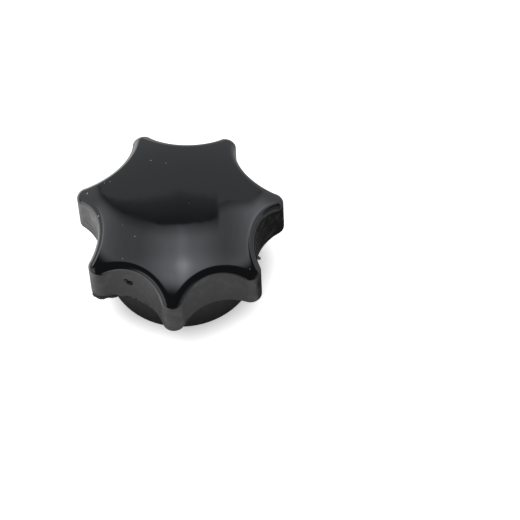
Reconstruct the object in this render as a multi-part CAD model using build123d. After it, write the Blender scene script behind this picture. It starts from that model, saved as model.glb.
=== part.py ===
from build123d import *
import os
from math import atan2, cos, degrees, radians, sin, sqrt, tan

# A seven-lobed star knob of black moulded plastic with a wide boss under the star.
# A tapped metal insert is moulded into the boss. Millimetres, +Z up the knob's axis.
# The origin is the middle of the boss's foot, and the first lobe points along -Y.

# Star
lobe_count = 7
star_diameter = 50.0          # circle round the lobe ends
waist_diameter = 36.9         # circle that touches the bottoms of the scallops
lobe_end_radius = 2.8         # round end of each lobe, seen from above
star_underside_height = 10.2   # height of the star's flat underside
crown_height = 26.8           # top of the dome, the whole height of the knob
dome_radius = 53.0            # the top is part of a ball of this radius
rim_radius = 2.0              # rolled edge between the dome and the side walls

# Boss
boss_diameter = 36.0          # its foot is the flat that the knob clamps with and stands on

# Insert, made from hexagonal bar, with its mouth level with the boss's foot
insert_across_flats = 14.0
insert_length = 20.0
groove_diameter = 12.0        # turned groove that the plastic fills
groove_width = 3.0

# Tapped hole, at its tapping size for an M10 thread
tapped_diameter = 8.5
tapped_depth = 14.5           # to the shoulder that the drill's point leaves
drill_point_angle = 118.0
mouth_diameter = 10.6         # wide end of the countersink, whose wall leans at 45 degrees

lobe_pitch = 360.0 / lobe_count
dome_centre_height = crown_height - dome_radius
hair = 0.01                   # how near to the dome an edge lies that is on it


def polar(radius, angle, height=0.0):
    """Point at a radius and an angle in degrees, counted from the first lobe."""
    bearing = radians(angle - 90)
    return (radius * cos(bearing), radius * sin(bearing), height)


def star_outline():
    """Outline of the star on its underside: round lobe ends and scallops, all tangent.

    The scallop's radius is the one that runs tangent into the round ends on both its sides.
    """
    star_radius = star_diameter / 2
    waist_radius = waist_diameter / 2
    half_pitch = radians(lobe_pitch / 2)
    end_centre = star_radius - lobe_end_radius
    between = 2 * end_centre * waist_radius * cos(half_pitch)
    reach = waist_radius**2 + end_centre**2 - between - lobe_end_radius**2
    room = end_centre * cos(half_pitch) + lobe_end_radius - waist_radius
    scallop_radius = reach / (2 * room)

    # Where the round end of the first lobe runs into the scallop beside it.
    share = lobe_end_radius / (scallop_radius + lobe_end_radius)
    scallop_centre = waist_radius + scallop_radius
    sideways = share * scallop_centre * sin(half_pitch)
    outwards = end_centre + share * (scallop_centre * cos(half_pitch) - end_centre)
    joint_radius = sqrt(outwards**2 + sideways**2)
    joint_angle = degrees(atan2(sideways, outwards))

    arcs = []
    for lobe in range(lobe_count):
        middle = lobe * lobe_pitch
        before = polar(joint_radius, middle - joint_angle, star_underside_height)
        tip = polar(star_radius, middle, star_underside_height)
        after = polar(joint_radius, middle + joint_angle, star_underside_height)
        waist = polar(waist_radius, middle + lobe_pitch / 2, star_underside_height)
        following = polar(joint_radius, middle + lobe_pitch - joint_angle, star_underside_height)
        arcs.append(ThreePointArc(before, tip, after))
        arcs.append(ThreePointArc(after, waist, following))
    return make_face(arcs)


def on_dome(edge):
    """Whether an edge lies on the ball that makes the domed top."""
    middle = edge.position_at(0.5)
    reach = sqrt(middle.X**2 + middle.Y**2 + (middle.Z - dome_centre_height)**2)
    return abs(reach - dome_radius) < hair


def star():
    """Star with upright walls under a domed top, with a rolled rim where they meet."""
    # The ball lies on its side, which keeps its poles away from the top.
    ball = Pos(0, 0, dome_centre_height) * Rot(90, 0, 90) * Sphere(dome_radius)
    domed = extrude(star_outline(), crown_height - star_underside_height) & ball
    rim = domed.edges().filter_by(on_dome)
    return fillet(rim, rim_radius)


def boss():
    """Wide round boss from its foot up to the star."""
    return extrude(Circle(boss_diameter / 2), star_underside_height)


def turned(points):
    """Solid turned from a profile of radius and height points."""
    profile = make_face(Plane.XZ * Polyline(points, close=True))
    return revolve(profile, Axis.Z)


def insert_form():
    """Outside of the insert: hexagonal bar with a groove turned into it at half its length."""
    bar = extrude(RegularPolygon(insert_across_flats / 2, 6, major_radius=False), insert_length)
    beyond_corners = insert_across_flats
    groove_start = (insert_length - groove_width) / 2
    groove_end = groove_start + groove_width
    groove = turned([
        (groove_diameter / 2, groove_start),
        (beyond_corners, groove_start),
        (beyond_corners, groove_end),
        (groove_diameter / 2, groove_end),
    ])
    return bar - groove


def tapped_hole():
    """Blind hole with its countersunk mouth and the cone of the drill's point."""
    bore = tapped_diameter / 2
    mouth = mouth_diameter / 2
    point_depth = bore / tan(radians(drill_point_angle / 2))
    return turned([
        (0, 0),
        (mouth, 0),
        (bore, mouth - bore),
        (bore, tapped_depth),
        (0, tapped_depth + point_depth),
    ])


# The insert is set in the mould first, so the plastic takes its outside exactly.
insert_shape = insert_form()
knob_body = star() + boss() - insert_shape
threaded_insert = insert_shape - tapped_hole()

os.makedirs("parts", exist_ok=True)
export_step(knob_body, "parts/knob_body.step")
export_step(threaded_insert, "parts/threaded_insert.step")
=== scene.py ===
"""Looks of a seven-lobed star knob: one black moulding round a tapped brass insert.

Two pieces stand for the frame's two nodes. All is in metres, with +Z up the knob's axis, the
origin in the middle of the boss's foot, and the first lobe towards -Y.
"""

import logging
import math
from collections.abc import Callable, Iterable, Iterator
from dataclasses import dataclass, field
from enum import Enum
from functools import partial

import bmesh
import bpy
from mathutils import Matrix, Vector, noise


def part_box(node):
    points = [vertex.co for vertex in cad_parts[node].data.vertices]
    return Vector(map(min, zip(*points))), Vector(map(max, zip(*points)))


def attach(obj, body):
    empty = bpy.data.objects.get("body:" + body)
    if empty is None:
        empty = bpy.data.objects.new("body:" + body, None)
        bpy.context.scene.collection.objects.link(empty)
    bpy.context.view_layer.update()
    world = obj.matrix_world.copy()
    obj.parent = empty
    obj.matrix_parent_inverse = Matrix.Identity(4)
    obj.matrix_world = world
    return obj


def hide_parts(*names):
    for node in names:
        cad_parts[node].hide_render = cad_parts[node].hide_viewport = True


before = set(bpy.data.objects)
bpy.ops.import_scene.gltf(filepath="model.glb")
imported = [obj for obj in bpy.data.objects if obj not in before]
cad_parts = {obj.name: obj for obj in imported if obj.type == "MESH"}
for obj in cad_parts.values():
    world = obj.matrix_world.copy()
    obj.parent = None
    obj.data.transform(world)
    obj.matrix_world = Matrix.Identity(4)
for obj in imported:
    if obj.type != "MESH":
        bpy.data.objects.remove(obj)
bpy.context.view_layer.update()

log = logging.getLogger("star_knob")

# What goes into a node's socket, and into all of its sockets.
Feed = float | tuple[float, ...] | bpy.types.NodeSocket | bpy.types.Node
Inputs = dict[str | int, Feed] | tuple[Feed, ...]
# add_node, bound to a tree.
Adder = Callable[..., bpy.types.Node]
# Where something starts and where it ends, or its level at either end.
Stretch = tuple[float, float]

MM = 0.001
PHOTO_PIXELS = 520
ONE_BODY = "root"
# How far Blender's wave texture turns along a unit of length, in radians.
WAVE_RATE = 20
# Gives a MapRange node no corner at either end.
SOFT = {"interpolation_type": "SMOOTHSTEP"}


class Surface(Enum):
    """Finishes of the moulding, and the boss's painted shade, by the number of their material slot."""

    POLISHED = 0
    SATIN = 1
    # A shaded copy of the satin for the boss, with less sheen: painted shade under the star's overhang.
    DULL = 2


# Small helpers


def linear(colour: str) -> tuple[float, float, float, float]:
    """Turns an sRGB hex colour into linear light.

    Args:
        colour: six hex digits, with a # before them.

    Returns:
        Red, green, blue and a full alpha.
    """
    parts = (int(colour[start:start + 2], 16) / 255 for start in (1, 3, 5))
    red, green, blue = (p / 12.92 if p <= 0.04045 else ((p + 0.055) / 1.055) ** 2.4 for p in parts)
    return red, green, blue, 1.0


def smooth(low: float, high: float, value: float) -> float:
    """Rises from 0 at low to 1 at high, with no corner at either end."""
    share = min(max((value - low) / (high - low), 0.0), 1.0)
    return share * share * (3 - 2 * share)


def scale_for(size: float) -> float:
    """Scale of a pattern whose features have a size in millimetres."""
    return 1 / (size * MM)


def add_node(tree: bpy.types.NodeTree, kind: str, inputs: Inputs = (), **settings: str) -> bpy.types.Node:
    """Adds a node with its settings and what goes into its sockets.

    Args:
        tree: the node tree that takes the node.
        kind: Blender's name of the node type, less the ShaderNode that it starts with.
        inputs: plain values, or the sockets or nodes that feed the node's sockets, in their order or
            by name or number. A node feeds from the first of its outputs that is in use.
        settings: properties of the node itself.

    Returns:
        The new node.
    """
    node = tree.nodes.new(f"ShaderNode{kind}")
    for name, value in settings.items():
        setattr(node, name, value)
    for name, value in inputs.items() if isinstance(inputs, dict) else enumerate(inputs):
        if isinstance(value, bpy.types.Node):
            value = next(output for output in value.outputs if output.enabled)
        if isinstance(value, bpy.types.NodeSocket):
            tree.links.new(value, node.inputs[name])
        else:
            node.inputs[name].default_value = value
    return node


def emptied(holder: bpy.types.Material | bpy.types.World) -> Adder:
    """Clears the nodes of a new material or world.

    Args:
        holder: the material or world.

    Returns:
        What adds nodes to it.
    """
    holder.use_nodes = True
    holder.node_tree.nodes.clear()
    return partial(add_node, holder.node_tree)


def deselect_all() -> None:
    """Leaves no object selected, so that an operator acts on the new piece alone."""
    bpy.ops.object.select_all(action="DESELECT")


def named(name: str) -> bpy.types.Object:
    """Names the object that an operator has just added, and its mesh.

    Args:
        name: the new name.

    Returns:
        The object.
    """
    piece = bpy.context.object
    piece.name = name
    piece.data.name = name
    return piece


# Finishes


@dataclass(frozen=True)
class DustSpeck:
    """A grain of dust or a lint hair that lies on the moulding.

    Attributes:
        x: place across the knob, in millimetres.
        y: place along the knob, in millimetres.
        radius: size of the grain, in millimetres.
    """

    x: float
    y: float
    radius: float


@dataclass(frozen=True)
class PolishedPhenolic:
    """Phenolic resin from a polished mould half: near black, glassy, with a faint orange peel.

    The dust on it is grey and matt, and each grain has a ragged edge. Sizes are in millimetres.
    """

    colour: str = "#0b0c0d"
    dust_colour: str = "#96958f"
    ior: float = 1.5
    roughness: float = 0.05
    haze: float = 0.05
    haze_edge: Stretch = (0.35, 0.7)
    haze_size: float = 9.0
    peel_size: float = 2.6
    peel_depth: float = 0.0016
    rag_size: float = 0.25
    rag_depth: float = 0.14
    specks: tuple[DustSpeck, ...] = (
        DustSpeck(-21.8, 4.85, 0.2),
        DustSpeck(-18.5, -2.2, 0.22),
        DustSpeck(-16.5, 7.2, 0.12),
        DustSpeck(-17.8, 7.0, 0.1),
        DustSpeck(-7.2, 12.84, 0.14),
        DustSpeck(-3.5, 11.8, 0.1),
        DustSpeck(2.8, -0.1, 0.09),
        DustSpeck(-12.4, -5.6, 0.09),
        DustSpeck(-9.3, -8.7, 0.13),
        DustSpeck(-11.85, -13.85, 0.1),
        DustSpeck(17.6, -14.4, 0.1),
    )

    def material(self) -> bpy.types.Material:
        """Builds the material.

        Returns:
            The material, which reads Object coordinates only.
        """
        material = bpy.data.materials.new("polished_phenolic")
        add = emptied(material)
        place = add("TexCoord").outputs["Object"]
        dust = self.dust_mask(add, place)
        colours = {0: dust, 6: linear(self.colour), 7: linear(self.dust_colour)}
        colour = add("Mix", colours, data_type="RGBA")
        cloud = add("TexNoise", {"Vector": place, "Scale": scale_for(self.haze_size), "Detail": 4.0})
        rough = add("MapRange", (cloud, *self.haze_edge, self.roughness, self.roughness + self.haze))
        dusty = add("Math", (rough, dust), operation="MAXIMUM")
        peel = add("TexNoise", {"Vector": place, "Scale": scale_for(self.peel_size), "Detail": 1.0})
        bump = add("Bump", {"Height": peel, "Distance": self.peel_depth * MM, "Strength": 1.0})
        shader = add(
            "BsdfPrincipled", {"Base Color": colour, "Roughness": dusty, "IOR": self.ior, "Normal": bump},
        )
        add("OutputMaterial", {"Surface": shader})
        return material

    def dust_mask(self, add: Adder, place: bpy.types.NodeSocket) -> Feed:
        """Marks the grains of dust.

        Args:
            add: adds a node to the material.
            place: the Object coordinates.

        Returns:
            A node that gives 1 on a grain and 0 elsewhere.
        """
        ragged = add("TexNoise", {"Vector": place, "Scale": scale_for(self.rag_size), "Detail": 2.0})
        ragged = add("MapRange", (ragged, 0.0, 1.0, -self.rag_depth * MM, self.rag_depth * MM))
        flat = add("VectorMath", (place, (1.0, 1.0, 0.0)), operation="MULTIPLY")
        mask = 0.0
        for speck in self.specks:
            centre = (speck.x * MM, speck.y * MM, 0.0)
            away = add("VectorMath", (flat, centre), operation="DISTANCE")
            edge = add("Math", (away, ragged), operation="ADD")
            grain = add("Math", (edge, speck.radius * MM), operation="LESS_THAN")
            mask = add("Math", (mask, grain), operation="MAXIMUM")
        return mask


@dataclass(frozen=True)
class SatinPhenolic:
    """The same resin from the rougher mould half: grey sheen, faint paler bloom, marks drawn along the walls.

    Sizes are in millimetres.
    """

    name: str = "satin_phenolic"
    colour: str = "#1a1a1b"
    bloom_colour: str = "#313132"
    ior: float = 1.5
    sheen_level: float = 0.8
    roughness: float = 0.3
    mottle: float = 0.3
    mottle_edge: Stretch = (0.3, 0.7)
    mottle_size: float = 2.2
    bloom_edge: Stretch = (0.48, 0.7)
    mark_width: float = 0.35
    mark_length: float = 9.0
    mark_depth: float = 0.03
    grain_size: float = 0.22
    grain_depth: float = 0.008

    def material(self) -> bpy.types.Material:
        """Builds the material.

        Returns:
            The material, with draw marks that run along Z on Object coordinates.
        """
        material = bpy.data.materials.new(self.name)
        add = emptied(material)
        place = add("TexCoord").outputs["Object"]
        drawn = add("Mapping", {"Vector": place, "Scale": (1.0, 1.0, self.mark_width / self.mark_length)})
        marks = add("TexNoise", {"Vector": drawn, "Scale": scale_for(self.mark_width), "Detail": 3.0})
        grain = add("TexNoise", {"Vector": place, "Scale": scale_for(self.grain_size), "Detail": 2.0})
        cloud = add("TexNoise", {"Vector": place, "Scale": scale_for(self.mottle_size), "Detail": 4.0})
        rough = add("MapRange", (cloud, *self.mottle_edge, self.roughness, self.roughness + self.mottle))
        bloom = add("MapRange", (cloud, *self.bloom_edge), **SOFT)
        colours = {0: bloom, 6: linear(self.colour), 7: linear(self.bloom_colour)}
        colour = add("Mix", colours, data_type="RGBA")
        lines = add("Bump", {"Height": marks, "Distance": self.mark_depth * MM, "Strength": 1.0})
        grainy = add(
            "Bump", {"Height": grain, "Distance": self.grain_depth * MM, "Strength": 1.0, "Normal": lines},
        )
        shader = add("BsdfPrincipled", {
            "Base Color": colour, "Roughness": rough, "IOR": self.ior,
            "Specular IOR Level": self.sheen_level, "Normal": grainy,
        })
        add("OutputMaterial", {"Surface": shader})
        return material


@dataclass(frozen=True)
class TurnedBrass:
    """Free-cutting brass from the lathe: yellow, bright, with fine rings round the axis.

    Sizes are in millimetres. A lathe's rings are finer, and these are as coarse as they need to show.
    """

    colour: str = "#c9a765"
    stain_colour: str = "#8d7040"
    roughness: float = 0.22
    stain_size: float = 5.0
    ring_pitch: float = 0.3
    ring_depth: float = 0.006

    def material(self) -> bpy.types.Material:
        """Builds the material.

        Returns:
            The material, which reads Object coordinates only.
        """
        material = bpy.data.materials.new("turned_brass")
        add = emptied(material)
        place = add("TexCoord").outputs["Object"]
        cloud = add("TexNoise", {"Vector": place, "Scale": scale_for(self.stain_size), "Detail": 5.0})
        colours = {0: cloud, 6: linear(self.colour), 7: linear(self.stain_colour)}
        colour = add("Mix", colours, data_type="RGBA")
        scale = math.tau / WAVE_RATE / (self.ring_pitch * MM)
        rings = add(
            "TexWave", {"Vector": place, "Scale": scale, "Distortion": 0.6, "Detail": 1.0},
            wave_type="RINGS", rings_direction="Z",
        ).outputs["Fac"]
        bump = add("Bump", {"Height": rings, "Distance": self.ring_depth * MM, "Strength": 1.0})
        shader = add("BsdfPrincipled", {
            "Base Color": colour, "Metallic": 1.0, "Roughness": self.roughness, "Normal": bump,
        })
        add("OutputMaterial", {"Surface": shader})
        return material


# The moulding


@dataclass(frozen=True)
class Station:
    """One of the upright lines that the skin of the moulding is strung on.

    Attributes:
        number: count round the knob from the first lobe's tip.
        foot: point on the star's outline, seen from above.
        outwards: level direction out of the wall there.
        turn: angle round the knob from the first lobe, in degrees, as flash is placed by.
    """

    number: int
    foot: Vector
    outwards: Vector
    turn: float


@dataclass(frozen=True)
class Flash:
    """A stretch of thin moulding flash left on the star's lower edge.

    Attributes:
        start: angle from the first lobe where it starts, in degrees.
        end: angle where it ends.
        width: how far it stands out at most, in millimetres.
        ragged: share of the width that is torn away between its teeth.
        tooth_rate: how quickly its teeth follow each other, from station to station.
        tooth_edge: noise at which a tooth starts and at which it is full.
        taper_start: share of half its length at which it begins to get narrower.
    """

    start: float
    end: float
    width: float
    ragged: float
    tooth_rate: float = 0.37
    tooth_edge: Stretch = (0.25, 0.75)
    taper_start: float = 0.75

    def width_at(self, station: Station) -> float:
        """How far the flash stands out at a station, in metres.

        Args:
            station: the station.

        Returns:
            The width there, or 0 beyond the flash.
        """
        middle = (self.start + self.end) / 2
        half = (self.end - self.start) / 2
        away = abs((station.turn - middle + 180) % 360 - 180)
        if away >= half:
            return 0.0
        torn = noise.noise(Vector((station.number * self.tooth_rate, self.start, 0.0))) * 0.5 + 0.5
        torn = smooth(*self.tooth_edge, torn)
        taper = smooth(half * self.taper_start, half, away)
        return self.width * MM * (1 - taper) * (1 - self.ragged * torn)


@dataclass(frozen=True)
class Pit:
    """A small hole in the skin of a wall.

    Attributes:
        turn: angle from the first lobe, in degrees.
        height: height over the foot, in millimetres.
        radius: half its width, in millimetres.
        depth: how deep it goes, in millimetres, or less than 0 for a bump.
        level_share: share of the radius that is level at its bottom.
    """

    turn: float
    height: float
    radius: float
    depth: float
    level_share: float = 0.3


class SkinStack:
    """A closed skin that is grown ring by ring, each ring extruded from the one before."""

    def __init__(self, name: str, count: int, pole: Vector, radius: float) -> None:
        """Starts with a fan of faces round a pole.

        Args:
            name: the piece's name.
            count: vertices in a ring.
            pole: the middle of the fan.
            radius: the fan's radius.
        """
        deselect_all()
        bpy.ops.mesh.primitive_circle_add(vertices=count, radius=radius, fill_type="TRIFAN", location=pole)
        self.piece = named(name)
        bpy.ops.object.transform_apply(location=True)
        bpy.ops.object.mode_set(mode="EDIT")
        bpy.ops.mesh.select_mode(type="EDGE")
        mesh = bmesh.from_edit_mesh(self.piece.data)
        number = mesh.verts.layers.int.new("station")
        for vertex in mesh.verts:
            turn = math.atan2(vertex.co.y, vertex.co.x) + math.pi / 2
            vertex[number] = round(turn / math.tau * count) % count
        for edge in mesh.edges:
            edge.select_set(edge.is_boundary)
        mesh.select_flush_mode()
        bmesh.update_edit_mesh(self.piece.data)

    def place(self, where: Callable[[int], Vector]) -> None:
        """Moves the ring that is selected, station by station.

        Args:
            where: gives each station's point.
        """
        mesh = bmesh.from_edit_mesh(self.piece.data)
        number = mesh.verts.layers.int["station"]
        for vertex in mesh.verts:
            if vertex.select:
                vertex.co = where(vertex[number])
        bmesh.update_edit_mesh(self.piece.data, loop_triangles=False)

    def grow(self, where: Callable[[int], Vector], surface: Surface) -> None:
        """Extrudes the selected ring and places the new one.

        Args:
            where: gives each station's point.
            surface: the finish of the new faces.
        """
        bpy.ops.mesh.extrude_region_move()
        mesh = bmesh.from_edit_mesh(self.piece.data)
        for edge in mesh.edges:
            if edge.select:
                for face in edge.link_faces:
                    face.material_index = surface.value
        self.place(where)

    def close(self) -> bpy.types.Object:
        """Draws the last ring together into a pole and leaves edit mode.

        Returns:
            The finished piece, with its faces turned outwards.
        """
        bpy.ops.mesh.merge(type="CENTER")
        bpy.ops.mesh.select_all(action="SELECT")
        bpy.ops.mesh.normals_make_consistent(inside=False)
        bpy.ops.object.mode_set(mode="OBJECT")
        return self.piece


@dataclass
class KnobBody:
    """The moulding: domed star, rolled rim, side walls, wide boss and the insert's pocket.

    Lengths are in millimetres. What the frame gives is read from it.
    """

    lobes: int = 7
    waist_radius: float = 19.0
    lobe_end_radius: float = 2.7
    underside: float = 10.2
    dome_radius: float = 53.0
    rim_radius: float = 2.7
    rim_tilt: float = 64.0
    crease_radius: float = 0.25
    boss_radius: float = 18.0
    groove_radius: float = 6.0
    groove_width: float = 3.0
    edge_break: float = 0.12
    skin: float = 0.01
    boss_fillet: float = 0.4
    foot_break: float = 0.2
    flash_thickness: float = 0.03
    flash_droop: float = 0.25
    underside_inset: float = 0.03
    least_underside: float = 0.05
    smooth_angle: float = 35.0
    end_steps: int = 18
    dome_steps: int = 28
    rim_steps: int = 14
    crease_steps: int = 3
    wall_steps: int = 38
    fillet_steps: int = 3
    boss_steps: int = 4
    scallop_steps: int = 60
    flashes: tuple[Flash, ...] = (
        Flash(307.5, 320.0, 0.45, 0.45),
        Flash(321.0, 334.0, 0.2, 0.5),
        Flash(334.0, 344.0, 0.3, 0.8),
        Flash(6.0, 9.5, 0.3, 0.8),
        Flash(103.9, 106.1, 0.36, 0.0),
        Flash(76.0, 78.5, 0.95, 0.2),
    )
    pits: tuple[Pit, ...] = (
        Pit(325.0, 17.7, 0.45, 0.55),
        Pit(326.2, 18.9, 0.6, -0.12),
        Pit(327.4, 16.9, 0.95, 1.5),
        Pit(329.2, 17.3, 0.5, -0.12),
        Pit(329.4, 16.2, 0.4, 0.5),
    )
    polished: PolishedPhenolic = field(default_factory=PolishedPhenolic)
    satin: SatinPhenolic = field(default_factory=SatinPhenolic)
    # The boss's copy of the satin has less sheen, so its gloss shows dark: painted shade under the star's
    # overhang.
    dull: SatinPhenolic = field(
        default_factory=lambda: SatinPhenolic(
            "dull_phenolic", "#262627", "#333334", sheen_level=0.3, mottle_size=4.0,
        ),
    )

    def __post_init__(self) -> None:
        """Takes the sizes that the frame gives."""
        low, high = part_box("knob_body")
        self.star_radius = -low.y - self.skin * MM
        self.crown = high.z
        low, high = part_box("threaded_insert")
        self.pocket_apothem = high.y
        self.pocket_depth = high.z
        self.dome_centre = self.crown - self.dome_radius * MM
        self.stations = list(self.round_the_star())

    def round_the_star(self) -> Iterator[Station]:
        """Strings the stations along the star's outline of tangent arcs.

        Yields:
            The stations in order, from the first lobe's tip.
        """
        tip, waist, end = self.star_radius, self.waist_radius * MM, self.lobe_end_radius * MM
        half = math.pi / self.lobes
        centre = tip - end
        reach = waist**2 + centre**2 - 2 * centre * waist * math.cos(half) - end**2
        scallop = reach / (2 * (centre * math.cos(half) + end - waist))
        far = waist + scallop
        # How far the wall has turned where a lobe's round end runs into the scallop.
        bend = math.atan2(far * math.sin(half), far * math.cos(half) - centre)
        number = 0
        for lobe in range(self.lobes):
            start = 2 * half * lobe
            stop = start + 2 * half
            for steps, middle, off, radius, first, last in (
                (self.end_steps, start, centre, end, start, start + bend),
                (self.scallop_steps, start + half, far, -scallop, start + bend, stop - bend),
                (self.end_steps, stop, centre, end, stop - bend, stop),
            ):
                for step in range(steps):
                    outwards = self.heading(first + (last - first) * step / steps)
                    foot = self.heading(middle) * off + outwards * radius
                    turn = math.degrees(math.atan2(foot.y, foot.x)) + 90
                    yield Station(number, foot, outwards, turn % 360)
                    number += 1

    @staticmethod
    def heading(turn: float) -> Vector:
        """Level direction at an angle from the first lobe, in radians."""
        return Vector((math.sin(turn), -math.cos(turn), 0.0))

    def rim_frame(self, station: Station) -> tuple[Vector, Vector, Vector]:
        """Where the ball that rolls the rim stands at a station.

        Args:
            station: the station.

        Returns:
            The ball's centre, the direction from it to the dome, and the one to the crease.
        """
        rim, crease = self.rim_radius * MM, self.crease_radius * MM
        tilt = math.radians(self.rim_tilt)
        inset = station.foot - station.outwards * ((rim - crease) * math.sin(tilt) + crease)
        climb = math.sqrt((self.dome_radius * MM - rim) ** 2 - inset.length_squared)
        centre = inset + Vector((0.0, 0.0, self.dome_centre + climb))
        last = station.outwards * math.sin(tilt) + Vector((0.0, 0.0, math.cos(tilt)))
        return centre, Vector((inset.x, inset.y, climb)).normalized(), last

    def on_dome(self, station: Station, share: float) -> Vector:
        """Point of the dome, from the crown out to the rim.

        Args:
            station: the station.
            share: how far along, from 0 to 1.

        Returns:
            The point.
        """
        _, up, _ = self.rim_frame(station)
        level = Vector((up.x, up.y, 0.0)) * (self.dome_radius * MM * share)
        height = math.sqrt((self.dome_radius * MM) ** 2 - level.length_squared)
        return level + Vector((0.0, 0.0, self.dome_centre + height))

    def on_rim(self, station: Station, share: float) -> Vector:
        """Point of the rolled rim, from the dome down to the crease."""
        centre, up, last = self.rim_frame(station)
        return centre + up.slerp(last, share) * (self.rim_radius * MM)

    def on_crease(self, station: Station, share: float) -> Vector:
        """Point of the small rounding where the rim breaks over into the upright wall.

        Args:
            station: the station.
            share: how far along, from 0 to 1.

        Returns:
            The point.
        """
        centre, _, last = self.rim_frame(station)
        middle = centre + last * ((self.rim_radius - self.crease_radius) * MM)
        return middle + last.slerp(station.outwards, share) * (self.crease_radius * MM)

    def on_wall(self, station: Station, share: float) -> Vector:
        """Point of the side wall, from the crease down to the edge's break.

        Args:
            station: the station.
            share: how far along, from 0 to 1.

        Returns:
            The point.
        """
        top = self.on_crease(station, 1.0).z
        bottom = (self.underside + self.edge_break) * MM
        height = top + (bottom - top) * share
        return station.foot + Vector((0.0, 0.0, height)) - self.pitted(station, height)

    def pitted(self, station: Station, height: float) -> Vector:
        """How far the pits draw a point of the wall inwards.

        Args:
            station: the station.
            height: the point's height, in metres.

        Returns:
            What is taken off the point.
        """
        depth = 0.0
        for pit in self.pits:
            across = ((station.turn - pit.turn + 180) % 360 - 180) * math.radians(self.waist_radius * MM)
            away = math.hypot(across, height - pit.height * MM) / (pit.radius * MM)
            depth += pit.depth * MM * (1 - smooth(pit.level_share, 1.0, away))
        return station.outwards * depth

    def flash_tip(self, station: Station, lower: bool) -> Vector:
        """Thin outer edge of the flash at the star's lower edge.

        Args:
            station: the station.
            lower: whether it is the edge's lower line.

        Returns:
            The point.
        """
        width = max(flash.width_at(station) for flash in self.flashes)
        height = (self.underside - self.flash_thickness * lower) * MM - width * self.flash_droop
        return station.foot + station.outwards * width + Vector((0.0, 0.0, height))

    def on_underside(self, station: Station, share: float) -> Vector:
        """Point of the flat underside, from the star's edge to the boss's fillet.

        Args:
            station: the station.
            share: how far along, from 0 to 1.

        Returns:
            The point.
        """
        edge = station.foot - station.outwards * (self.underside_inset * MM)
        inner = self.round_boss(station) * (self.boss_radius + self.boss_fillet) * MM
        least = self.least_underside
        if inner.length >= edge.length - least * MM:
            inner = edge - station.outwards * least * MM
        level = edge.lerp(inner, share)
        return level + Vector((0.0, 0.0, self.underside * MM))

    def round_boss(self, station: Station) -> Vector:
        """Level direction from the axis to where a station runs down the boss."""
        return self.heading(math.radians(station.turn))

    def below_star(self) -> Iterator[tuple[float, float]]:
        """Walks down the boss, round its fillet and its foot's edge, to the foot's flat.

        Yields:
            Radius and height of each ring, in millimetres.
        """
        for step in range(1, self.fillet_steps + 1):
            turn = math.pi / 2 * step / self.fillet_steps
            yield (self.boss_radius + self.boss_fillet * (1 - math.sin(turn)),
                   self.underside - self.boss_fillet * (1 - math.cos(turn)))
        top = self.underside - self.boss_fillet
        for step in range(1, self.boss_steps + 1):
            yield self.boss_radius, top + (self.foot_break - top) * step / self.boss_steps
        for step in range(1, self.fillet_steps + 1):
            turn = math.pi / 2 * step / self.fillet_steps
            yield (self.boss_radius - self.foot_break * (1 - math.cos(turn)),
                   self.foot_break * (1 - math.sin(turn)))

    def on_pocket(self, number: int, height: float, ridge: bool) -> Vector:
        """Point of the hexagonal pocket that the insert fills, or of the round ridge in it.

        Args:
            number: the station's number.
            height: the point's height, in metres.
            ridge: whether it lies on the ridge.

        Returns:
            The point.
        """
        turn = math.tau * number / len(self.stations)
        side = math.tau / 6
        off_flat = (turn + side / 2) % side - side / 2
        reach = self.groove_radius * MM if ridge else self.pocket_apothem / math.cos(off_flat)
        return self.heading(turn) * reach + Vector((0.0, 0.0, height))

    def build(self) -> bpy.types.Object:
        """Grows the whole skin from the crown down to the pocket's end.

        Returns:
            The finished piece.
        """
        pole = Vector((0.0, 0.0, self.crown))
        skin = SkinStack("star_moulding", len(self.stations), pole, self.rim_radius * MM)
        skin.place(lambda number: self.on_dome(self.stations[number], 1 / self.dome_steps))
        for point, first, steps, surface in (
            (self.on_dome, 2, self.dome_steps, Surface.POLISHED),
            (self.on_rim, 1, self.rim_steps, Surface.POLISHED),
            (self.on_crease, 1, self.crease_steps, Surface.SATIN),
            (self.on_wall, 1, self.wall_steps, Surface.SATIN),
        ):
            for step in range(first, steps + 1):
                skin.grow(lambda number: point(self.stations[number], step / steps), surface)
        for under in (False, True):
            skin.grow(lambda number: self.flash_tip(self.stations[number], under), Surface.SATIN)
        for share in (0.0, 0.5, 1.0):
            skin.grow(lambda number: self.on_underside(self.stations[number], share), Surface.SATIN)
        # The boss takes the shaded copy of the satin: painted shade under the star.
        for radius, height in self.below_star():
            level = Vector((0.0, 0.0, height * MM))
            skin.grow(
                lambda number: self.round_boss(self.stations[number]) * (radius * MM) + level, Surface.DULL,
            )
        self.sink_pocket(skin)
        return skin.close()

    def sink_pocket(self, skin: SkinStack) -> None:
        """Grows the pocket that the insert fills, with the ridge that lies in its groove.

        Args:
            skin: the skin, whose last ring lies on the foot's edge.
        """
        middle = self.pocket_depth / 2
        low, high = middle - self.groove_width / 2 * MM, middle + self.groove_width / 2 * MM
        for height, ridge in (
            (0.0, False), (low, False), (low, True), (high, True), (high, False), (self.pocket_depth, False),
        ):
            skin.grow(lambda number: self.on_pocket(number, height, ridge), Surface.SATIN)

    def make(self) -> bpy.types.Object:
        """Builds the moulding, smooths it, and gives it its two finishes, a shaded copy of the satin for the
        boss, and its place in the frame.

        Returns:
            The finished piece.
        """
        piece = self.build()
        for finish in (self.polished, self.satin, self.dull):
            piece.data.materials.append(finish.material())
        bpy.ops.object.shade_smooth_by_angle(angle=math.radians(self.smooth_angle))
        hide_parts("knob_body")
        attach(piece, ONE_BODY)
        return piece


# The insert


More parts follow.
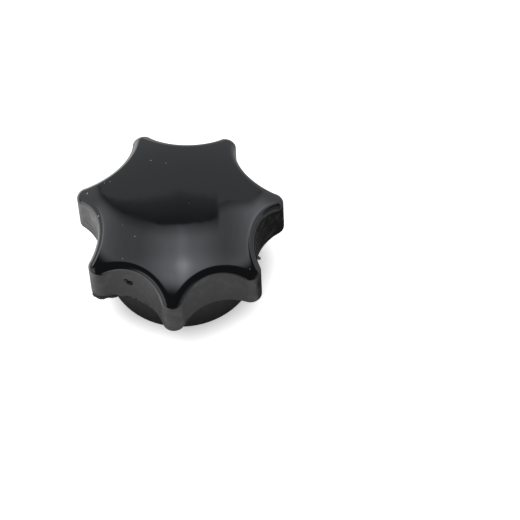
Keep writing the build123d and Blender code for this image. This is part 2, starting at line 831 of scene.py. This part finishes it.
@dataclass
class ThreadedInsert:
    """Hexagonal brass insert with a turned groove, a drilled hole and a cut M10 thread.

    Lengths are in millimetres. What the frame gives is read from it.
    """

    groove_radius: float = 6.0
    groove_width: float = 3.0
    edge_break: float = 0.15
    bore_radius: float = 4.25
    bore_depth: float = 14.5
    drill_point_angle: float = 118.0
    mouth_radius: float = 5.3
    thread_radius: float = 5.0
    thread_pitch: float = 1.5
    thread_depth: float = 13.0
    thread_flank_angle: float = 60.0
    thread_root_flat: float = 0.19
    tap_overlap: float = 0.1
    tap_lead: int = 3
    cutter_reach: float = 1.0
    corner_play: float = 0.02
    merge_within: float = 0.001
    smooth_angle: float = 25.0
    round_steps: int = 96
    finish: TurnedBrass = field(default_factory=TurnedBrass)

    def __post_init__(self) -> None:
        """Takes the sizes that the frame gives."""
        _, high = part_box("threaded_insert")
        self.apothem = high.y / MM
        self.length = high.z / MM

    def bar(self) -> bpy.types.Object:
        """Saws off a piece of hexagonal bar.

        Returns:
            The bar.
        """
        deselect_all()
        corner = self.apothem / math.cos(math.pi / 6) * MM
        bpy.ops.mesh.primitive_cylinder_add(
            vertices=6, radius=corner, depth=self.length * MM, location=(0.0, 0.0, self.length / 2 * MM),
        )
        bar = named("brass_insert")
        bpy.ops.object.transform_apply(location=True)
        bpy.ops.object.mode_set(mode="EDIT")
        mesh = bmesh.from_edit_mesh(bar.data)
        # Blender points a corner along Y, and the frame's bar has its corners along X.
        corners = Matrix.Rotation(math.pi / 6, 3, "Z")
        bmesh.ops.transform(mesh, matrix=corners.to_4x4(), verts=mesh.verts)
        bmesh.update_edit_mesh(bar.data)
        bpy.ops.object.mode_set(mode="OBJECT")
        return bar

    @staticmethod
    def drawn(name: str, profile: list[tuple[float, float]]) -> bpy.types.Object:
        """Draws an open profile beside the axis.

        Args:
            name: name of the object.
            profile: radius and height of the profile's corners.

        Returns:
            The profile as a row of edges, selected and active.
        """
        deselect_all()
        mesh = bpy.data.meshes.new(name)
        points = [(radius * MM, 0.0, height * MM) for radius, height in profile]
        mesh.from_pydata(points, [(at, at + 1) for at in range(len(points) - 1)], [])
        form = bpy.data.objects.new(name, mesh)
        bpy.context.collection.objects.link(form)
        bpy.context.view_layer.objects.active = form
        form.select_set(True)
        return form

    def turned(self, name: str, profile: list[tuple[float, float]]) -> bpy.types.Object:
        """Spins a profile round the axis.

        Args:
            name: name of the cutter.
            profile: radius and height of the profile's corners, from the axis and back to it.

        Returns:
            The solid of revolution, with its faces outwards.
        """
        form = self.drawn(name, profile)
        bpy.ops.object.mode_set(mode="EDIT")
        bpy.ops.mesh.select_all(action="SELECT")
        bpy.ops.mesh.spin(steps=self.round_steps, angle=math.tau, center=(0, 0, 0), axis=(0, 0, 1))
        bpy.ops.mesh.select_all(action="SELECT")
        bpy.ops.mesh.remove_doubles(threshold=self.merge_within * MM)
        bpy.ops.mesh.normals_make_consistent(inside=False)
        bpy.ops.object.mode_set(mode="OBJECT")
        return form

    def lathe_form(self) -> bpy.types.Object:
        """What the lathe leaves of the bar: faced ends, broken corners and the groove.

        Returns:
            The closed form.
        """
        beyond = self.apothem * 2
        rim = self.apothem / math.cos(math.pi / 6) + self.corner_play
        low, high = (self.length - self.groove_width) / 2, (self.length + self.groove_width) / 2
        return self.turned("lathe_form", [
            (0, 0), (rim - self.edge_break, 0), (rim, self.edge_break), (beyond, self.edge_break),
            (beyond, low), (self.groove_radius, low), (self.groove_radius, high), (beyond, high),
            (beyond, self.length - self.edge_break), (rim, self.length - self.edge_break),
            (rim - self.edge_break, self.length), (0, self.length),
        ])

    def drill_form(self) -> bpy.types.Object:
        """What the drill and the countersink take away.

        Returns:
            The closed form.
        """
        point = self.bore_radius / math.tan(math.radians(self.drill_point_angle / 2))
        above = self.cutter_reach
        return self.turned("drill_form", [
            (0, -above), (self.mouth_radius + above, -above),
            (self.bore_radius, self.mouth_radius - self.bore_radius),
            (self.bore_radius, self.bore_depth), (0, self.bore_depth + point),
        ])

    def tap_form(self) -> bpy.types.Object:
        """What the tap takes away: a threaded rod, closed at both ends.

        Returns:
            The closed form.
        """
        depth = self.thread_radius - self.bore_radius + self.tap_overlap
        flank = depth * math.tan(math.radians(self.thread_flank_angle / 2))
        core = self.thread_radius - depth
        crest = self.thread_pitch - 2 * flank - self.thread_root_flat
        profile = [
            (core, 0.0), (core, crest), (self.thread_radius, crest + flank),
            (self.thread_radius, crest + flank + self.thread_root_flat), (core, self.thread_pitch),
        ]
        start = -self.tap_lead * self.thread_pitch
        form = self.drawn("tap_form", [(radius, start + height) for radius, height in profile])
        screw = form.modifiers.new("screw", "SCREW")
        screw.axis = "Z"
        screw.angle = math.tau
        screw.screw_offset = self.thread_pitch * MM
        screw.iterations = math.ceil(self.thread_depth / self.thread_pitch) + self.tap_lead + 1
        screw.steps = self.round_steps
        screw.render_steps = self.round_steps
        screw.use_merge_vertices = True
        screw.merge_threshold = self.merge_within * MM
        bpy.ops.object.modifier_apply(modifier="screw")
        bpy.ops.object.mode_set(mode="EDIT")
        bpy.ops.mesh.select_all(action="SELECT")
        bpy.ops.mesh.remove_doubles(threshold=self.merge_within * MM)
        for height, inner in ((-self.cutter_reach, True), (self.thread_depth, False)):
            bpy.ops.mesh.select_all(action="SELECT")
            bpy.ops.mesh.bisect(
                plane_co=(0, 0, height * MM), plane_no=(0, 0, 1), use_fill=True,
                clear_inner=inner, clear_outer=not inner, threshold=self.merge_within / 10 * MM,
            )
        bpy.ops.mesh.select_all(action="SELECT")
        bpy.ops.mesh.normals_make_consistent(inside=False)
        bpy.ops.object.mode_set(mode="OBJECT")
        return form

    @staticmethod
    def cut(piece: bpy.types.Object, form: bpy.types.Object, operation: str) -> None:
        """Keeps or takes away what a form covers of a piece, and removes the form.

        Args:
            piece: the piece that is worked on.
            form: the closed form that works on it.
            operation: INTERSECT or DIFFERENCE.
        """
        deselect_all()
        bpy.context.view_layer.objects.active = piece
        piece.select_set(True)
        boolean = piece.modifiers.new(form.name, "BOOLEAN")
        boolean.object = form
        boolean.operation = operation
        boolean.solver = "EXACT"
        bpy.ops.object.modifier_apply(modifier=boolean.name)
        bpy.data.objects.remove(form)

    def make(self) -> bpy.types.Object:
        """Builds and dresses the insert, and gives it its place in the frame.

        Returns:
            The finished piece.
        """
        piece = self.bar()
        self.cut(piece, self.lathe_form(), "INTERSECT")
        self.cut(piece, self.drill_form(), "DIFFERENCE")
        self.cut(piece, self.tap_form(), "DIFFERENCE")
        piece.data.materials.clear()
        piece.data.materials.append(self.finish.material())
        bpy.ops.object.shade_smooth_by_angle(angle=math.radians(self.smooth_angle))
        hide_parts("threaded_insert")
        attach(piece, ONE_BODY)
        return piece


# The studio


@dataclass
class ViewPoint:
    """The camera, at the angle that the knob is seen from.

    Attributes:
        elevation: degrees that it looks down.
        roll: degrees that the picture is turned.
        knob_turn: degrees that the knob is turned on the table, seen from above.
        distance: from the point of the table in the picture's middle, in millimetres.
        pixels_per_mm: scale of the picture there.
        knob_x: where the knob's axis stands to the right of that point, in millimetres.
        knob_y: where it stands behind that point, in millimetres.
    """

    elevation: float = 58.4
    roll: float = -2.6
    knob_turn: float = -5.2
    distance: float = 650.0
    pixels_per_mm: float = 4.15
    knob_x: float = -18.65
    knob_y: float = 0.3

    def make(self) -> bpy.types.Object:
        """Sets up the camera.

        Returns:
            The scene's camera.
        """
        data = bpy.data.cameras.new("camera")
        camera = bpy.data.objects.new("camera", data)
        bpy.context.collection.objects.link(camera)
        data.sensor_width = 36.0
        data.lens = self.pixels_per_mm * self.distance / PHOTO_PIXELS * data.sensor_width
        data.clip_start, data.clip_end = 0.01, 20.0
        down = Matrix.Rotation(math.radians(90 - self.elevation), 4, "X")
        aimed = down @ Matrix.Rotation(math.radians(self.roll), 4, "Z")
        back = aimed.to_3x3() @ Vector((0.0, 0.0, 1.0))
        spot = back * (self.distance * MM) - Vector((self.knob_x * MM, self.knob_y * MM, 0.0))
        table = Matrix.Rotation(math.radians(-self.knob_turn), 4, "Z")
        camera.matrix_world = table @ Matrix.Translation(spot) @ aimed
        bpy.context.scene.camera = camera
        return camera


@dataclass
class PaperFloor:
    """Plain pale paper under the knob: white to the camera, with the knob's shadow, and painted shadow at the
    foot.

    Lengths are in millimetres. Each edge says where something starts and where it is full, counted
    from the axis; the dark patch's is counted from its own middle, and the bright patch's along X.
    The dark patch, the dimmed floor and the bright patch are painted reflections, seen by the gloss
    alone: the dark patch keeps the right walls dark, the dimmed floor paints shade into them near the
    foot, and the bright patch paints light into the left walls.
    """

    side: float = 4000.0
    colour: str = "#f3f3f3"
    # The glow is weaker near the foot: painted shadow round the knob.
    glow_edge: Stretch = (16.0, 26.0)
    glow_levels: Stretch = (0.33, 0.92)
    foot_radius: float = 17.9
    # The gloss sees the floor dimmed near the foot: painted shade in the walls' reflections.
    dim_edge: Stretch = (16.0, 30.0)
    dim_shares: Stretch = (0.92, 0.6)
    # A dark patch seen only in the gloss: painted reflection that keeps the right walls dark.
    flag_x: float = 45.0
    flag_y: float = -2.0
    flag_edge: Stretch = (38.0, 19.0)
    flag_level: float = 0.03
    # A bright patch seen only in the gloss: painted reflection that lights the left walls.
    card_edge: Stretch = (-24.0, -48.0)
    card_level: float = 1.35

    def make(self) -> None:
        """Lays the floor."""
        deselect_all()
        bpy.ops.mesh.primitive_plane_add(size=self.side * MM, location=(0.0, 0.0, 0.0))
        floor = named("floor")
        floor.data.materials.append(self.material())

    def material(self) -> bpy.types.Material:
        """Builds the paper.

        Returns:
            The material. From below it is clear, so that the knob's foot can be seen.
        """
        material = bpy.data.materials.new("pale_paper")
        add = emptied(material)
        path = add("LightPath").outputs
        place = add("TexCoord").outputs["Object"]
        aside = add("SeparateXYZ", (place,)).outputs["X"]
        away = add("VectorMath", (place,), operation="LENGTH")
        middle = (self.flag_x * MM, self.flag_y * MM, 0.0)
        off = add("VectorMath", (place, middle), operation="DISTANCE")
        glow, near, flag, card = (
            add("MapRange", (value, start * MM, end * MM, *levels), **SOFT)
            for value, (start, end), levels in (
                (away, self.glow_edge, self.glow_levels),
                (away, self.dim_edge, self.dim_shares),
                (off, self.flag_edge, (0.0, 1.0)),
                (aside, self.card_edge, (0.0, self.card_level)),
            )
        )

        # What the camera sees, and the gloss with it: a glow that is weaker near the foot, a painted shadow.
        seen = path["Is Camera Ray"]
        for ray in ("Is Glossy Ray", "Is Transmission Ray"):
            seen = add("Math", (seen, path[ray]), operation="MAXIMUM")
        glow = add("Math", (seen, glow), operation="MULTIPLY")
        light = add("Emission", {"Strength": glow})
        paper = add("BsdfDiffuse", {"Color": linear(self.colour)})
        front = add("AddShader", (paper, light))

        # What the gloss alone sees over it: painted reflections, a dark patch on the right with the dimmed
        # floor near the foot, and a bright patch on the left.
        # Painted shade: outside the foot, the floor near it is dimmed for the gloss.
        outside = add("Math", (away, self.foot_radius * MM), operation="GREATER_THAN")
        near = add("Math", (near, outside), operation="MULTIPLY")
        flag = add("Math", (flag, near), operation="MAXIMUM")
        flag = add("Math", (flag, path["Is Glossy Ray"]), operation="MULTIPLY")
        # A faint emission seen by the gloss alone: painted dark reflection.
        black = add("Emission", {"Strength": self.flag_level})
        front = add("MixShader", (flag, front, black))
        # Glow seen by the gloss alone: painted light reflected in the left walls.
        card = add("Math", (card, path["Is Glossy Ray"]), operation="MULTIPLY")
        white = add("Emission", {"Strength": card})
        front = add("AddShader", (front, white))

        back = add("NewGeometry").outputs["Backfacing"]
        clear = add("BsdfTransparent")
        whole = add("MixShader", (back, front, clear))
        add("OutputMaterial", {"Surface": whole})
        return material


@dataclass
class SoftLamp:
    """The soft lamp, up to the left and a little behind. Lengths are in millimetres."""

    place: tuple[float, float, float] = (-300.0, 200.0, 900.0)
    size: float = 800.0
    watts: float = 5.0

    def make(self) -> None:
        """Hangs the lamp."""
        data = bpy.data.lights.new("soft_lamp", "AREA")
        data.shape = "SQUARE"
        data.size = self.size * MM
        data.energy = self.watts
        lamp = bpy.data.objects.new("soft_lamp", data)
        bpy.context.collection.objects.link(lamp)
        lamp.location = Vector(self.place) * MM
        lamp.rotation_euler = lamp.location.to_track_quat("Z", "Y").to_euler()
        # Its picture in the gloss is drawn by the room's ceiling instead.
        lamp.visible_glossy = False


@dataclass(frozen=True)
class CeilingTube:
    """A soft lamp tube that runs away from the camera over the knob.

    Places on the ceiling are in heights of the ceiling over the knob.

    Attributes:
        across: where its middle is, to the right.
        width: where its glow ends, to each side.
        level: how much brighter it is than the ceiling.
    """

    across: float
    width: float
    level: float


class Work(Enum):
    """Ways to work out a step of the room's formula: kind of node, its settings, and the sockets filled."""

    PLUS = ("Math", {"operation": "ADD"}, (0, 1))
    MINUS = ("Math", {"operation": "SUBTRACT"}, (0, 1))
    TIMES = ("Math", {"operation": "MULTIPLY"}, (0, 1))
    OVER = ("Math", {"operation": "DIVIDE"}, (0, 1))
    POWER = ("Math", {"operation": "POWER"}, (0, 1))
    SIZE = ("Math", {"operation": "ABSOLUTE"}, (0,))
    LARGER = ("Math", {"operation": "MAXIMUM"}, (0, 1))
    SMALLER = ("Math", {"operation": "MINIMUM"}, (0, 1))
    TIMES_PLUS = ("Math", {"operation": "MULTIPLY_ADD"}, (0, 1, 2))
    # From 0 at the first number to 1 at the second, with soft ends.
    RISE = ("MapRange", SOFT, (0, 1, 2))
    # From the second value to the third as the first goes from 0 to 1.
    BLEND = ("MapRange", {}, (0, 3, 4))


@dataclass
class Room:
    """The room round the floor: white to the camera, and with a ceiling and walls to the gloss.

    A place on the ceiling is given by how far it lies across and ahead, in heights of the ceiling
    over the knob, and a place on the walls by the direction to it. Each edge says where something
    starts and where it is full: the arch's are counted from the arch, and the gap's far one in
    widths of the gap.
    """

    view: ViewPoint
    plain_level: float = 0.45
    plain_tint: str = "#ffffff"
    gloss_tint: str = "#f6f9ff"
    least_climb: float = 0.01

    ceiling_level: float = 1.1
    arch_start: float = 0.35
    arch_bend: float = 0.9
    arch_reach: float = 2.0
    arch_edge: Stretch = (-0.015, 0.02)
    arch_glow_edge: Stretch = (0.05, -0.2)
    arch_glow: Stretch = (0.3, 1.0)
    corner_shift: float = 0.2
    corner_end: Stretch = (0.85, 0.45)
    ragged: float = 0.055
    ragged_scale: float = 7.0
    tubes: tuple[CeilingTube, ...] = (
        CeilingTube(-1.5, 1.0, 2.6),
        CeilingTube(0.0, 0.42, 1.25),
        CeilingTube(0.0, 0.08, 0.45),
        CeilingTube(1.05, 0.68, 2.0),
    )
    tube_end: Stretch = (1.3, 0.6)
    bulb_place: tuple[float, float, float] = (0.01, -0.06, 0.0)
    bulb_edge: Stretch = (0.12, 0.0)
    bulb_level: float = 1.2
    streak_scale: tuple[float, float, float] = (22.0, 0.8, 1.0)
    streak_levels: Stretch = (0.85, 1.15)
    overhead_edge: Stretch = (0.12, -0.06)
    overhead_levels: Stretch = (1.0, 1.3)
    fade_reach: float = 1.0
    fade_bend: float = 0.65
    fade_edge: Stretch = (-0.36, -0.16)

    gap_width: float = 0.52
    gap_narrowing: float = 0.45
    gap_least: float = 0.04
    gap_level: float = 0.14
    gap_fade: float = 0.42
    gap_far_edge: Stretch = (1.2, 0.65)
    gap_right_edge: Stretch = (0.37, 0.33)
    backdrop_levels: Stretch = (0.62, 0.84)

    low_edge: Stretch = (0.36, 0.24)
    low_level: float = 0.4
    camera_edge: Stretch = (-0.85, -0.6)
    left_edge: Stretch = (-0.65, -0.8)
    left_end: Stretch = (0.1, -0.1)
    left_level: float = 0.75
    strip_low_edge: Stretch = (0.12, 0.24)
    strip_high_edge: Stretch = (0.5, 0.38)
    strip_level: float = 1.0
    dark_level: float = 0.09

    def make(self) -> None:
        """Lights the room."""
        world = bpy.data.worlds.new("room")
        world.cycles.sampling_method = "NONE"
        bpy.context.scene.world = world
        add = emptied(world)
        path = add("LightPath").outputs
        glossy = add("Math", (path["Is Glossy Ray"], path["Is Transmission Ray"]), operation="MAXIMUM")
        level = add("MapRange", (glossy, 0.0, 1.0, self.plain_level, self.pattern(add)))
        tints = {0: glossy, 6: linear(self.plain_tint), 7: linear(self.gloss_tint)}
        tint = add("Mix", tints, data_type="RGBA")
        shown = add("MapRange", (path["Is Camera Ray"], 0.0, 1.0, level, 1.0))
        light = add("Background", {"Color": tint, "Strength": shown})
        add("OutputWorld", {"Surface": light})

    @staticmethod
    def work_out(add: Adder, known: dict[str, Feed], steps: Iterable[tuple]) -> None:
        """Adds a node for each step of a formula.

        Args:
            add: adds a node to the world.
            known: what has been worked out so far, by name. Each step adds to it.
            steps: name of the result, way to work it out, and names or numbers that go in.
        """
        for name, work, *values in steps:
            kind, settings, sockets = work.value
            inputs = {socket: known.get(value, value) for socket, value in zip(sockets, values)}
            known[name] = add(kind, inputs, **settings)

    def pattern(self, add: Adder) -> Feed:
        """Draws what the gloss shows.

        Args:
            add: adds a node to the world.

        Returns:
            The brightness in each direction.
        """
        turn = (0.0, 0.0, math.radians(self.view.knob_turn))
        direction = add("Mapping", {"Vector": add("TexCoord").outputs["Generated"], "Rotation": turn})
        along = add("SeparateXYZ", (direction,)).outputs
        known: dict[str, Feed] = {"x": along["X"], "y": along["Y"], "height": along["Z"], "ceiling": 0.0}
        self.work_out(add, known, (
            ("climb", Work.LARGER, "height", self.least_climb),
            ("across", Work.OVER, "x", "climb"),
            ("ahead", Work.OVER, "y", "climb"),
        ))
        spot = add("CombineXYZ", (known["across"], known["ahead"]))
        known["rags"] = add("TexNoise", {"Vector": spot, "Scale": self.ragged_scale, "Detail": 4.0})
        known["off_bulb"] = add("VectorMath", (spot, self.bulb_place), operation="DISTANCE")
        streaks = add("Mapping", {"Vector": spot, "Scale": self.streak_scale})
        known["streaks"] = add("TexNoise", {"Vector": streaks, "Detail": 2.0})
        self.work_out(add, known, self.arch_steps())
        self.work_out(add, known, self.beyond_steps())
        self.work_out(add, known, self.ceiling_steps())
        self.work_out(add, known, self.wall_steps())
        return known["light"]

    def arch_steps(self) -> Iterator[tuple]:
        """Where the lit ceiling ends: in an arch with a ragged edge, and farther off on the right.

        Yields:
            The steps up to how far a direction lies past that edge.
        """
        yield "off_middle", Work.SIZE, "across"
        yield "off_middle", Work.SMALLER, "off_middle", self.arch_reach
        yield "arch", Work.POWER, "off_middle", 2.0
        yield "arch", Work.TIMES_PLUS, "arch", self.arch_bend, self.arch_start
        yield "right", Work.RISE, "across", *reversed(self.gap_right_edge)
        yield "corner", Work.RISE, "across", *self.corner_end
        yield "corner", Work.TIMES, "right", "corner"
        yield "edge", Work.TIMES_PLUS, "corner", self.corner_shift, "arch"
        yield "past", Work.MINUS, "ahead", "edge"
        yield "rags", Work.TIMES_PLUS, "rags", self.ragged * 2, -self.ragged
        yield "torn", Work.PLUS, "past", "rags"

    def beyond_steps(self) -> Iterator[tuple]:
        """What lies past the arch: a dark gap that narrows to both sides, and the backdrop.

        Yields:
            The steps up to its brightness.
        """
        yield "width", Work.TIMES_PLUS, "off_middle", -self.gap_narrowing, self.gap_width
        yield "width", Work.LARGER, "width", self.gap_least
        yield "into", Work.OVER, "torn", "width"
        yield "gap", Work.LARGER, "into", 0.0
        yield "gap", Work.TIMES_PLUS, "gap", self.gap_fade, self.gap_level
        yield "far", Work.RISE, "into", *self.gap_far_edge
        yield "left_of_end", Work.RISE, "across", *self.gap_right_edge
        yield "closed", Work.TIMES, "far", "left_of_end"
        yield "backdrop", Work.BLEND, "height", *self.backdrop_levels
        yield "beyond", Work.BLEND, "closed", "backdrop", "gap"

    def ceiling_steps(self) -> Iterator[tuple]:
        """The lit ceiling, with its tubes, its one bulb and faint streaks, which fades behind the camera.

        Yields:
            The steps up to the brightness of ceiling and backdrop together.
        """
        for tube in self.tubes:
            yield "off_tube", Work.MINUS, "across", tube.across
            yield "off_tube", Work.SIZE, "off_tube"
            yield "tube", Work.RISE, "off_tube", tube.width, 0.0
            yield "ceiling", Work.TIMES_PLUS, "tube", tube.level, "ceiling"
        yield "tube_end", Work.RISE, "ahead", *self.tube_end
        yield "ceiling", Work.TIMES_PLUS, "ceiling", "tube_end", self.ceiling_level
        yield "bulb", Work.RISE, "off_bulb", *self.bulb_edge
        yield "ceiling", Work.TIMES_PLUS, "bulb", self.bulb_level, "ceiling"
        yield "streaks", Work.BLEND, "streaks", *self.streak_levels
        yield "arch_glow", Work.RISE, "past", *self.arch_glow_edge
        yield "arch_glow", Work.BLEND, "arch_glow", *self.arch_glow
        yield "overhead", Work.RISE, "ahead", *self.overhead_edge
        yield "overhead", Work.BLEND, "overhead", *self.overhead_levels
        yield "fade_arch", Work.SMALLER, "off_middle", self.fade_reach
        yield "fade_arch", Work.POWER, "fade_arch", 2.0
        yield "fade", Work.TIMES_PLUS, "fade_arch", -self.fade_bend, "ahead"
        yield "fade", Work.RISE, "fade", *self.fade_edge
        for share in ("streaks", "arch_glow", "overhead", "fade"):
            yield "ceiling", Work.TIMES, "ceiling", share
        yield "past_edge", Work.RISE, "torn", *self.arch_edge
        yield "light", Work.BLEND, "past_edge", "ceiling", "beyond"

    def wall_steps(self) -> Iterator[tuple]:
        """The walls: lit low down, a dim one with a strip light on the left, and dark behind the camera.

        Yields:
            The steps up to the brightness of the whole room.
        """
        yield "off_camera", Work.RISE, "y", *self.camera_edge
        yield "low", Work.RISE, "height", *self.low_edge
        yield "low", Work.TIMES, "low", "off_camera"
        yield "low_light", Work.LARGER, "light", self.low_level
        yield "light", Work.BLEND, "low", "light", "low_light"
        yield "left", Work.RISE, "x", *self.left_edge
        yield "left_end", Work.RISE, "y", *self.left_end
        yield "left", Work.TIMES, "left", "left_end"
        yield "left", Work.TIMES, "left", "off_camera"
        yield "strip", Work.RISE, "height", *self.strip_low_edge
        yield "strip_top", Work.RISE, "height", *self.strip_high_edge
        yield "strip", Work.TIMES, "strip", "strip_top"
        yield "wall", Work.TIMES_PLUS, "strip", self.strip_level, self.left_level
        yield "wall", Work.LARGER, "light", "wall"
        yield "light", Work.BLEND, "left", "light", "wall"
        yield "light", Work.LARGER, "light", self.dark_level


def plain_colours() -> None:
    """Shows colours about as they are written."""
    bpy.context.scene.view_settings.view_transform = "Standard"


def main() -> None:
    """Builds the knob and its studio in order."""
    logging.basicConfig(level=logging.INFO, format="%(name)s: %(message)s")
    view = ViewPoint()
    view.make()
    for part in (KnobBody(), ThreadedInsert()):
        piece = part.make()
        log.info("%s: %d faces, %s", piece.name, len(piece.data.polygons), type(part).__name__)
    for part in (PaperFloor(), SoftLamp(), Room(view)):
        part.make()
        log.info("%s is in place", type(part).__name__)
    plain_colours()


if __name__ == "__main__":
    main()
